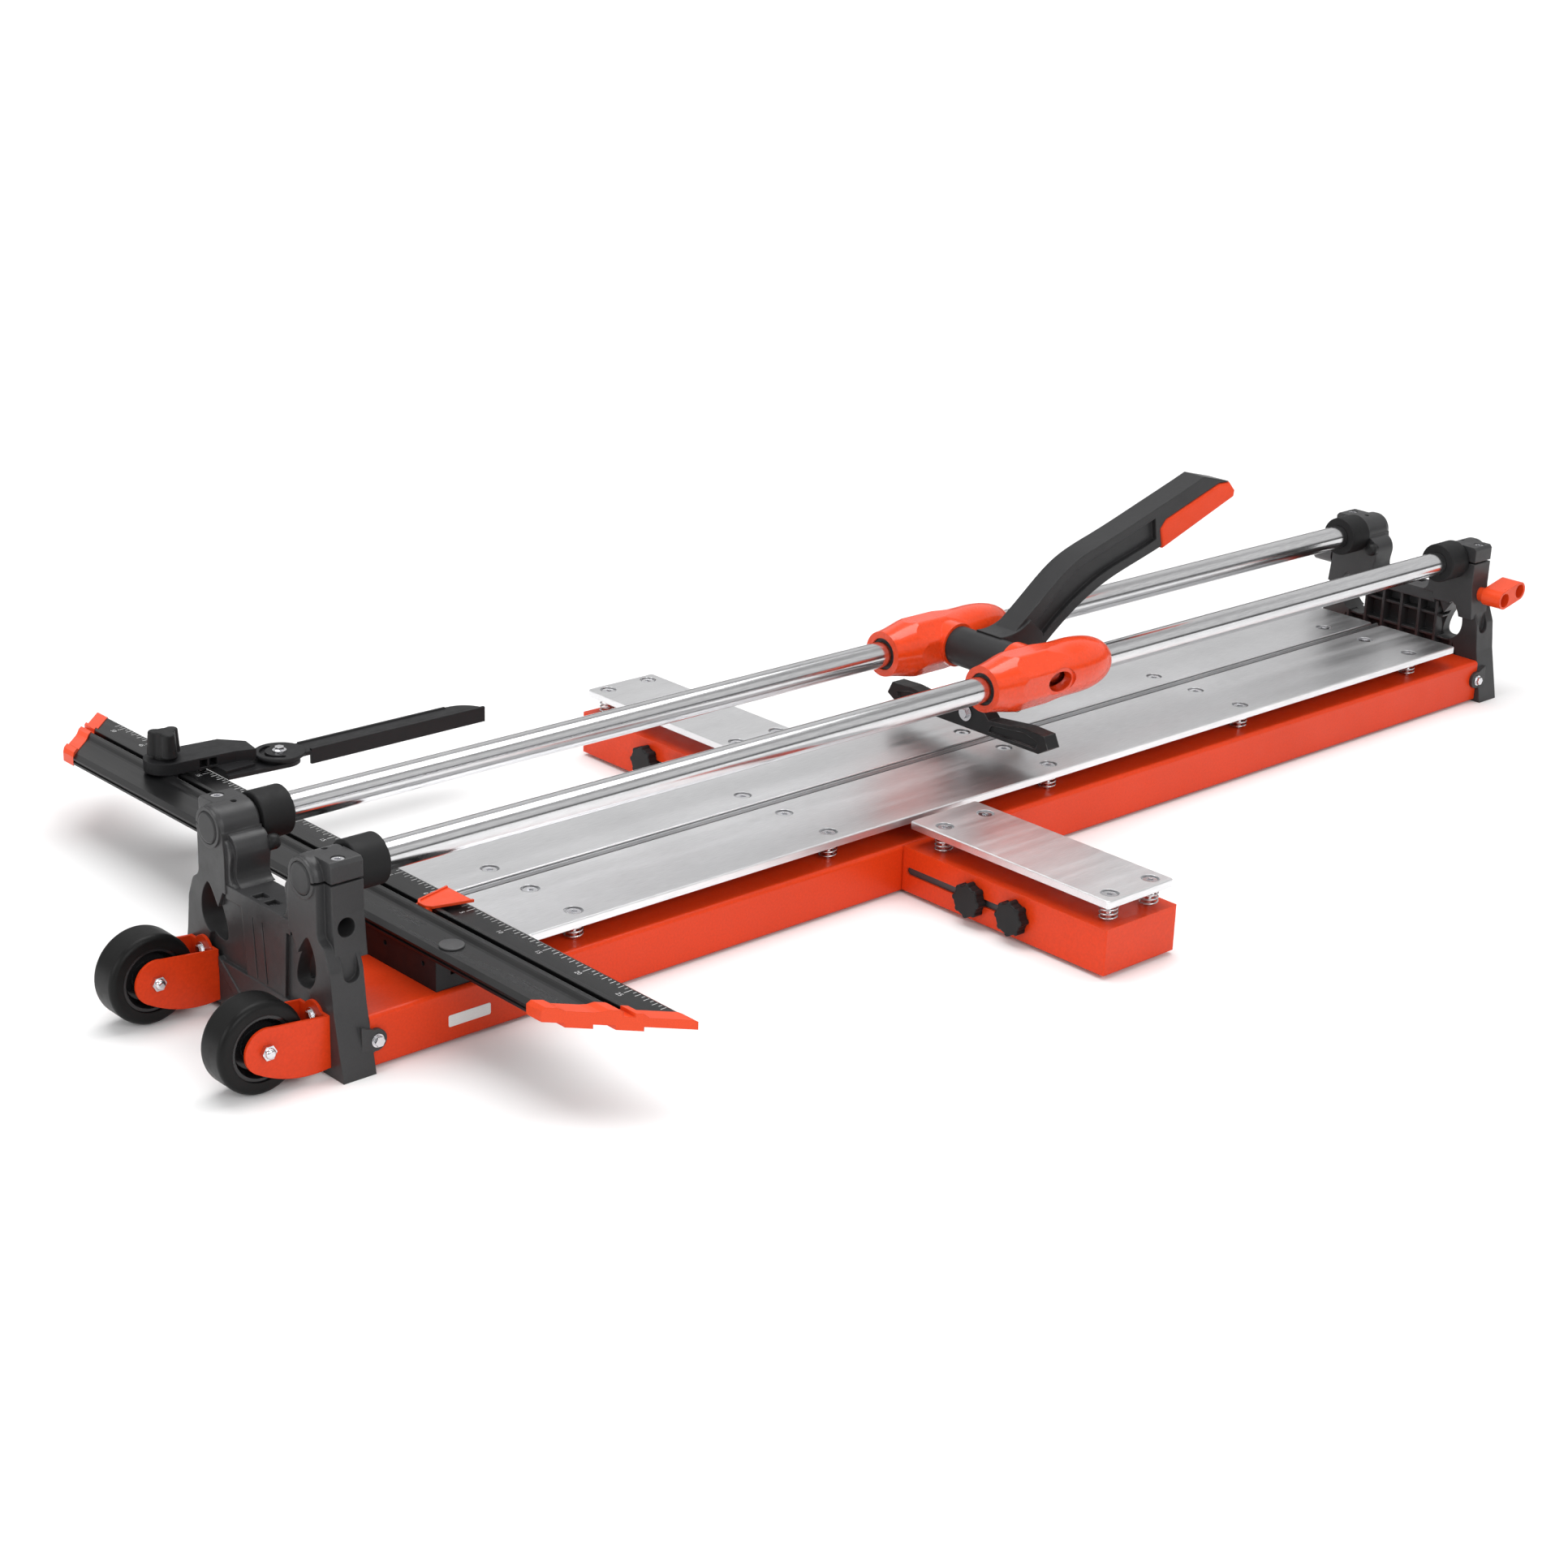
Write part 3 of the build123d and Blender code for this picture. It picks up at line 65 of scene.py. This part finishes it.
# the middle of a noise texture's range, which the finishes spread over their full range
NOISE_LOW, NOISE_HIGH = 0.3, 0.7


def surface(name, colour, rough, metallic=0.0, coat=0.0, coat_rough=0.1, stretch=(1, 1, 1),
            grain=900.0, bump=0.15, bump_depth=0.00004, colour_var=0.12, var_scale=9.0,
            rough_var=0.08, rough_scale=60.0, edge=0.0007, wear_and_sheen=0.0, wear_and_sheen_colour=(0.5, 0.5, 0.5),
            ior=1.5, specular=0.5):
    """A procedural finish: large soft colour drift, streaked or even grain, varied gloss, edges
    lightened as wear and as painted edge highlight.
    """
    m = bpy.data.materials.new(name)
    m.use_nodes = True
    t = m.node_tree
    n = t.nodes
    n.clear()
    out = n.new("ShaderNodeOutputMaterial")
    b = n.new("ShaderNodeBsdfPrincipled")
    link(t, b.outputs["BSDF"], out.inputs["Surface"])
    b.inputs["Metallic"].default_value = metallic
    b.inputs["IOR"].default_value = ior
    b.inputs["Specular IOR Level"].default_value = specular
    b.inputs["Coat Weight"].default_value = coat
    b.inputs["Coat Roughness"].default_value = coat_rough
    co = n.new("ShaderNodeTexCoord")
    mp = n.new("ShaderNodeMapping")
    mp.inputs["Scale"].default_value = stretch
    link(t, co.outputs["Object"], mp.inputs["Vector"])
    fine = n.new("ShaderNodeTexNoise")
    fine.inputs["Scale"].default_value = grain
    fine.inputs["Detail"].default_value = 3.0
    link(t, mp.outputs["Vector"], fine.inputs["Vector"])
    big = n.new("ShaderNodeTexNoise")
    big.inputs["Scale"].default_value = var_scale
    big.inputs["Detail"].default_value = 5.0
    link(t, co.outputs["Object"], big.inputs["Vector"])
    mid = n.new("ShaderNodeTexNoise")
    mid.inputs["Scale"].default_value = rough_scale
    mid.inputs["Detail"].default_value = 6.0
    mid.inputs["Roughness"].default_value = 0.65
    link(t, mp.outputs["Vector"], mid.inputs["Vector"])
    ramp = n.new("ShaderNodeValToRGB")
    lo = [c * (1 - colour_var) for c in colour]
    hi = [min(1.0, c * (1 + colour_var)) for c in colour]
    ramp.color_ramp.elements[0].position = NOISE_LOW
    ramp.color_ramp.elements[0].color = (*lo, 1)
    ramp.color_ramp.elements[1].position = NOISE_HIGH
    ramp.color_ramp.elements[1].color = (*hi, 1)
    link(t, big.outputs["Fac"], ramp.inputs["Fac"])
    colour_out = ramp.outputs["Color"]
    speck = n.new("ShaderNodeMix")
    speck.data_type = "RGBA"
    speck.blend_type = "MULTIPLY"
    speck.inputs["Factor"].default_value = 0.35
    link(t, colour_out, speck.inputs["A"])
    link(t, remap(t, fine.outputs["Fac"], NOISE_LOW, NOISE_HIGH, 0.75, 1.15), speck.inputs["B"])
    colour_out = speck.outputs["Result"]
    rough_out = remap(t, mid.outputs["Fac"], NOISE_LOW, NOISE_HIGH,
                      max(0.02, rough - rough_var), min(1.0, rough + rough_var))
    bev = n.new("ShaderNodeBevel")
    bev.samples = 4
    bev.inputs["Radius"].default_value = edge
    if wear_and_sheen > 0:
        geo = n.new("ShaderNodeNewGeometry")
        dot = n.new("ShaderNodeVectorMath")
        dot.operation = "DOT_PRODUCT"
        link(t, bev.outputs["Normal"], dot.inputs[0])
        link(t, geo.outputs["Normal"], dot.inputs[1])
        mul = n.new("ShaderNodeMath")
        mul.operation = "MULTIPLY"
        # one on an edge, where the rounded normal leaves the face's; broken up by the noise. This edge
        # mask lightens the colour as wear and as painted edge highlight
        link(t, remap(t, dot.outputs["Value"], 0.995, 0.9, 0.0, 1.0), mul.inputs[0])
        link(t, remap(t, mid.outputs["Fac"], 0.42, 0.62, 0.0, wear_and_sheen), mul.inputs[1])
        # the lighter edge colour mixed in here is wear and painted edge highlight
        worn_and_lit = n.new("ShaderNodeMix")
        worn_and_lit.data_type = "RGBA"
        link(t, mul.outputs["Value"], worn_and_lit.inputs["Factor"])
        link(t, colour_out, worn_and_lit.inputs["A"])
        worn_and_lit.inputs["B"].default_value = (*wear_and_sheen_colour, 1)
        colour_out = worn_and_lit.outputs["Result"]
    bp = n.new("ShaderNodeBump")
    bp.inputs["Strength"].default_value = bump
    bp.inputs["Distance"].default_value = bump_depth
    link(t, fine.outputs["Fac"], bp.inputs["Height"])
    link(t, bev.outputs["Normal"], bp.inputs["Normal"])
    link(t, bp.outputs["Normal"], b.inputs["Normal"])
    link(t, colour_out, b.inputs["Base Color"])
    link(t, rough_out, b.inputs["Roughness"])
    return m


RED = (0.66, 0.043, 0.006)
WORN_AND_LIT_BLACK = (0.11, 0.11, 0.11)          # lighter edges of the dark pieces: rubbed wear and painted edge highlight

# one finish for each material slot of the record, then two for printed details
# each finish's edge colour is a lighter copy of that finish: rubbed wear and painted edge highlight
M = {
    "frame_casting": surface("frame_casting", (0.03, 0.03, 0.0312), 0.4, grain=700, bump=0.35,
                             specular=0.4, bump_depth=0.0001, colour_var=0.1, wear_and_sheen=0.35,
                             edge=0.0016, wear_and_sheen_colour=WORN_AND_LIT_BLACK),
    "red_steel": surface("red_steel", RED, 0.36, coat=0.06, coat_rough=0.2, specular=0.2, grain=500,
                         bump=0.12, colour_var=0.05, wear_and_sheen=0.2, wear_and_sheen_colour=(0.85, 0.2, 0.08)),
    "red_casting": surface("red_casting", (0.75, 0.055, 0.009), 0.26, coat=0.5, specular=0.22,
                           coat_rough=0.08, grain=300, bump=0.08, colour_var=0.05, edge=0.0014),
    "rail_chrome": surface("rail_chrome", (0.68, 0.68, 0.69), 0.17, metallic=1.0,
                           stretch=(0.08, 1, 1), grain=900, bump=0.05, colour_var=0.03,
                           rough_var=0.05),
    "plug_plastic": surface("plug_plastic", (0.028, 0.028, 0.029), 0.34, specular=0.22, grain=900,
                            bump=0.1, edge=0.0012),
    "rubber_black": surface("rubber_black", (0.01, 0.01, 0.0105), 0.58, specular=0.22, grain=1200,
                            bump=0.3, edge=0.0012),
    "bright_steel": surface("bright_steel", (0.72, 0.72, 0.74), 0.2, metallic=1.0, grain=900,
                            bump=0.08, colour_var=0.06, edge=0.0004),
    "spring_steel": surface("spring_steel", (0.62, 0.62, 0.63), 0.25, metallic=1.0, grain=900,
                            bump=0.1, edge=0.0002),
    "plate_aluminium": surface("plate_aluminium", (0.8, 0.8, 0.81), 0.36, metallic=1.0,
                               stretch=(0.05, 1, 1), grain=1400, bump=0.18, colour_var=0.05,
                               rough_var=0.07, wear_and_sheen=0.3, wear_and_sheen_colour=(0.85, 0.85, 0.86)),
    "plain_steel": surface("plain_steel", (0.4, 0.4, 0.41), 0.4, metallic=1.0, stretch=(0.1, 1, 1),
                           grain=900, bump=0.15, colour_var=0.1),
    "tool_steel": surface("tool_steel", (0.5, 0.46, 0.36), 0.25, metallic=1.0, grain=1500,
                          bump=0.1),
    "bush_plastic": surface("bush_plastic", (0.02, 0.02, 0.02), 0.5, grain=1100, bump=0.2),
    "guide_steel": surface("guide_steel", (0.05, 0.05, 0.053), 0.42, grain=700, bump=0.2, wear_and_sheen=0.3),
    "knob_plastic": surface("knob_plastic", (0.01, 0.01, 0.0105), 0.44, specular=0.22, grain=1500,
                            bump=0.3, edge=0.0012),
    "black_aluminium": surface("black_aluminium", (0.006, 0.006, 0.0064), 0.3, metallic=0.1,
                               specular=0.35, stretch=(1, 0.05, 1), grain=1500, bump=0.12,
                               colour_var=0.08, rough_var=0.06, wear_and_sheen=0.35, edge=0.0005,
                               wear_and_sheen_colour=WORN_AND_LIT_BLACK),
    "black_plastic": surface("black_plastic", (0.012, 0.012, 0.013), 0.45, specular=0.22,
                             grain=1300, bump=0.3, edge=0.0012),
    "orange_plastic": surface("orange_plastic", (0.74, 0.06, 0.011), 0.34, specular=0.22,
                              grain=1200, bump=0.15, colour_var=0.05, coat=0.2, edge=0.0009),
    "grey_plastic": surface("grey_plastic", (0.06, 0.06, 0.062), 0.4, grain=1200, bump=0.2,
                            colour_var=0.06, edge=0.001),
    "lever_casting": surface("lever_casting", (0.026, 0.026, 0.027), 0.38, specular=0.22, grain=800,
                             bump=0.3, bump_depth=0.00008, wear_and_sheen=0.3, edge=0.0022,
                             wear_and_sheen_colour=WORN_AND_LIT_BLACK),
    "grip_rubber": surface("grip_rubber", (0.72, 0.052, 0.01), 0.45, specular=0.2, grain=1400,
                           bump=0.3, colour_var=0.05, edge=0.003),
    "foot_casting": surface("foot_casting", (0.015, 0.015, 0.0157), 0.4, specular=0.22, grain=800,
                            bump=0.3, bump_depth=0.00008, wear_and_sheen=0.3, edge=0.0014),
    "tyre_rubber": surface("tyre_rubber", (0.004, 0.004, 0.004), 0.42, specular=0.2, grain=1300,
                           bump=0.35, edge=0.0012),
    "hub_plastic": surface("hub_plastic", (0.014, 0.014, 0.015), 0.2, coat=0.4, specular=0.22,
                           grain=500, bump=0.06, edge=0.001),
    "paper_label": surface("paper_label", (0.8, 0.8, 0.79), 0.55, grain=2500, bump=0.1,
                           colour_var=0.03),
    "scale_ink": surface("scale_ink", (0.62, 0.62, 0.62), 0.6, grain=3000, bump=0.1),
}

for entry in frame["record"]["subparts"]:
    ob = NODES[entry["node"]]
    ob.data.materials.clear()
    ob.data.materials.append(M[entry["material_slot"]])


# ------------------------------------------------------------------ detail pieces
def piece(name, bm, body, material, smooth=True):
    """A finished detail mesh that rides on a body."""
    me = bpy.data.meshes.new(name)
    bm.to_mesh(me)
    bm.free()
    for p in me.polygons:
        p.use_smooth = smooth
    ob = bpy.data.objects.new(name, me)
    bpy.context.scene.collection.objects.link(ob)
    me.materials.append(M[material])
    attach(ob, body)
    return ob


def slab(bm, lo, hi):
    """Adds a box between two corners to a mesh."""
    xs, ys, zs = zip(lo, hi)
    v = [bm.verts.new((x, y, z)) for x in xs for y in ys for z in zs]
    for q in ((0, 1, 3, 2), (4, 6, 7, 5), (0, 4, 5, 1), (2, 3, 7, 6), (0, 2, 6, 4), (1, 5, 7, 3)):
        bm.faces.new([v[i] for i in q])


def turned(bm, profile, origin, axis, steps=40):
    """Adds a solid of revolution: profile is (distance along the axis, radius) from end to end."""
    rot = Vector((0, 0, 1)).rotation_difference(Vector(axis)).to_matrix().to_4x4()
    m = Matrix.Translation(origin) @ rot
    rings = []
    for h, r in profile:
        if r <= 0:
            rings.append([bm.verts.new(m @ Vector((0, 0, h)))])
        else:
            rings.append([bm.verts.new(m @ Vector((r * math.cos(a), r * math.sin(a), h)))
                          for a in (2 * math.pi * i / steps for i in range(steps))])
    for a, b in zip(rings, rings[1:]):
        for i in range(steps):
            j = (i + 1) % steps
            if len(a) == 1:
                bm.faces.new((a[0], b[i], b[j]))
            elif len(b) == 1:
                bm.faces.new((a[i], b[0], a[j]))
            else:
                bm.faces.new((a[i], a[j], b[j], b[i]))
    bmesh.ops.recalc_face_normals(bm, faces=bm.faces[:])


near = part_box("near_frame")
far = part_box("far_frame")
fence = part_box("fence_bar")
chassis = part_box("chassis")

# round rubber nubs on the inner side of each tower
TOWER_FACE = 0.0385          # from the frame's outermost point to the towers' inner face
NUB_Y, NUB_Z = 0.0392, 0.141
NUB_PROFILE = [(-0.001, 0), (-0.001, 0.0066), (0.006, 0.0066), (0.0085, 0.0056), (0.0092, 0.003),
               (0.0092, 0)]
bm = bmesh.new()
for end, x in ((1, near[0][0] + TOWER_FACE), (-1, far[1][0] - TOWER_FACE)):
    for side in (-1, 1):
        turned(bm, NUB_PROFILE, (x, side * NUB_Y, NUB_Z), (end, 0, 0))
piece("tower_nubs", bm, "base", "knob_plastic")

# blank rating label on the chassis side
LABEL_X, LABEL_Z = near[0][0] + 0.126, 0.0195
w, h, r = 0.0205, 0.005, 0.0015          # half length, half height, corner radius
CORNER_STEPS = 5
bm = bmesh.new()
pts = []
for cx, cz, a0 in ((w - r, h - r, 0), (-w + r, h - r, 90), (-w + r, -h + r, 180), (w - r, -h + r, 270)):
    for k in range(CORNER_STEPS):
        a = math.radians(a0 + k * 90 / (CORNER_STEPS - 1))
        pts.append((LABEL_X + cx + r * math.cos(a), LABEL_Z + cz + r * math.sin(a)))
front = [bm.verts.new((x, chassis[0][1] - 0.0003, z)) for x, z in pts]
back = [bm.verts.new((x, chassis[0][1] + 0.0002, z)) for x, z in pts]
bm.faces.new(front)
bm.faces.new(back[::-1])
for i in range(len(pts)):
    j = (i + 1) % len(pts)
    bm.faces.new((front[i], back[i], back[j], front[j]))
bmesh.ops.recalc_face_normals(bm, faces=bm.faces[:])
piece("side_label", bm, "base", "paper_label", smooth=False)

# printed scale along the fence strip: a mark every 5 mm, longer ones every 10 and 50 mm
edge_x = fence[1][0] - 0.003
top = fence[0][2] + 0.0054
MARK_PITCH = 0.005
MARK_HALF_WIDTH = 0.00035
bm = bmesh.new()
for i in range(-58, 103):
    y = i * MARK_PITCH
    length = 0.0085 if i % 10 == 0 else (0.0058 if i % 2 == 0 else 0.0034)
    slab(bm, (edge_x - length, y - MARK_HALF_WIDTH, top - 0.0002),
         (edge_x, y + MARK_HALF_WIDTH, top + 0.00006))
piece("fence_scale_marks", bm, "base", "scale_ink", smooth=False)

# numerals beside the long marks: distance from the cutting line in centimetres
NUMERAL_SIZE = 0.0062
NUMERAL_SETBACK = 0.0128     # from the edge line to the middle of a numeral
bm = bmesh.new()
for i in range(-5, 11):
    text = bpy.data.curves.new("numeral", "FONT")
    text.body = str(abs(i) * 5)
    text.size = NUMERAL_SIZE
    text.extrude = 0.00006
    text.resolution_u = 3
    text.align_x = "CENTER"
    text.align_y = "CENTER"
    holder = bpy.data.objects.new("numeral", text)
    bpy.context.scene.collection.objects.link(holder)
    bpy.context.view_layer.update()
    depsgraph = bpy.context.evaluated_depsgraph_get()
    mesh = bpy.data.meshes.new_from_object(holder.evaluated_get(depsgraph))
    mesh.transform(Matrix.Translation((edge_x - NUMERAL_SETBACK, i * 10 * MARK_PITCH + 0.0002, top))
                   @ Matrix.Rotation(math.radians(-90), 4, "Z"))
    bm.from_mesh(mesh)
    bpy.data.objects.remove(holder)
    bpy.data.curves.remove(text)
    bpy.data.meshes.remove(mesh)
piece("fence_scale_numerals", bm, "base", "scale_ink", smooth=False)

# ------------------------------------------------------------------ stage, light and camera
FLOOR_SIZE = 30
GLOW_START, GLOW_END, GLOW = 1.1, 4.5, 0.8          # the floor turns into a white backdrop

bpy.ops.mesh.primitive_plane_add(size=FLOOR_SIZE, location=(0, 0, 0))
floor = bpy.context.object
floor.name = "floor"
fm = bpy.data.materials.new("floor")
fm.use_nodes = True
fb = fm.node_tree.nodes["Principled BSDF"]
fb.inputs["Base Color"].default_value = (0.9, 0.9, 0.9, 1)
fb.inputs["Roughness"].default_value = 0.75
fb.inputs["Emission Color"].default_value = (1.0, 1.0, 1.0, 1)
ft = fm.node_tree
spot = ft.nodes.new("ShaderNodeTexCoord")
reach = ft.nodes.new("ShaderNodeVectorMath")
reach.operation = "LENGTH"
link(ft, spot.outputs["Object"], reach.inputs[0])
link(ft, remap(ft, reach.outputs["Value"], GLOW_START, GLOW_END, 0.0, GLOW),
     fb.inputs["Emission Strength"])
floor.data.materials.append(fm)

world = bpy.data.worlds.new("studio")
bpy.context.scene.world = world
world.use_nodes = True
wn = world.node_tree.nodes
sky = wn.new("ShaderNodeTexCoord")
split_xyz = wn.new("ShaderNodeSeparateXYZ")
shade = wn.new("ShaderNodeValToRGB")
link(world.node_tree, sky.outputs["Generated"], split_xyz.inputs["Vector"])
link(world.node_tree, split_xyz.outputs["Z"], shade.inputs["Fac"])
link(world.node_tree, shade.outputs["Color"], wn["Background"].inputs["Color"])
# brightness by height: a dark band just over the horizon gives the chrome its contrast
stops = shade.color_ramp.elements
stops[0].position, stops[0].color = 0.0, (0.5, 0.5, 0.5, 1)
stops[1].position, stops[1].color = 1.0, (1.0, 1.0, 1.0, 1)
for where, value in ((0.05, 0.1), (0.17, 0.14), (0.25, 0.9), (0.6, 0.95), (0.7, 0.45)):
    stop = stops.new(where)
    stop.color = (value, value, value, 1)
wn["Background"].inputs["Strength"].default_value = 0.8


def softbox(name, place, target, size, power):
    """A rectangular area light at a place, turned to a target."""
    data = bpy.data.lights.new(name, "AREA")
    data.shape = "RECTANGLE"
    data.size, data.size_y = size
    data.energy = power
    ob = bpy.data.objects.new(name, data)
    ob.location = place
    ob.rotation_euler = (Vector(target) - Vector(place)).to_track_quat("-Z", "Y").to_euler()
    bpy.context.scene.collection.objects.link(ob)


softbox("top_box", (0.1, 0.3, 2.6), (0, 0, 0.1), (3.2, 1.6), 62)
softbox("camera_side", (-1.0, -3.2, 1.9), (0, 0, 0.1), (2.6, 1.4), 45)
softbox("wheel_side", (-3.4, 0.2, 1.3), (-0.4, 0, 0.1), (1.6, 1.6), 22)

CAMERA_PLACE = (-1.8360, -1.7467, 0.9758)
CAMERA_YAW, CAMERA_PITCH, CAMERA_ROLL = 46.95, 20.47, 1.952
cam_data = bpy.data.cameras.new("camera")
cam = bpy.data.objects.new("camera", cam_data)
bpy.context.scene.collection.objects.link(cam)
bpy.context.scene.camera = cam
cam_data.sensor_width = 36.0
cam_data.lens = 64.57
yaw, pitch, roll = (math.radians(a) for a in (CAMERA_YAW, CAMERA_PITCH, CAMERA_ROLL))
forward = Vector((math.cos(yaw) * math.cos(pitch), math.sin(yaw) * math.cos(pitch), -math.sin(pitch)))
right = Vector((math.sin(yaw), -math.cos(yaw), 0))
up = right.cross(forward)
right2 = right * math.cos(roll) + up * math.sin(roll)
up2 = up * math.cos(roll) - right * math.sin(roll)
turn = Matrix((right2, up2, -forward)).transposed().to_4x4()
cam.matrix_world = Matrix.Translation(CAMERA_PLACE) @ turn
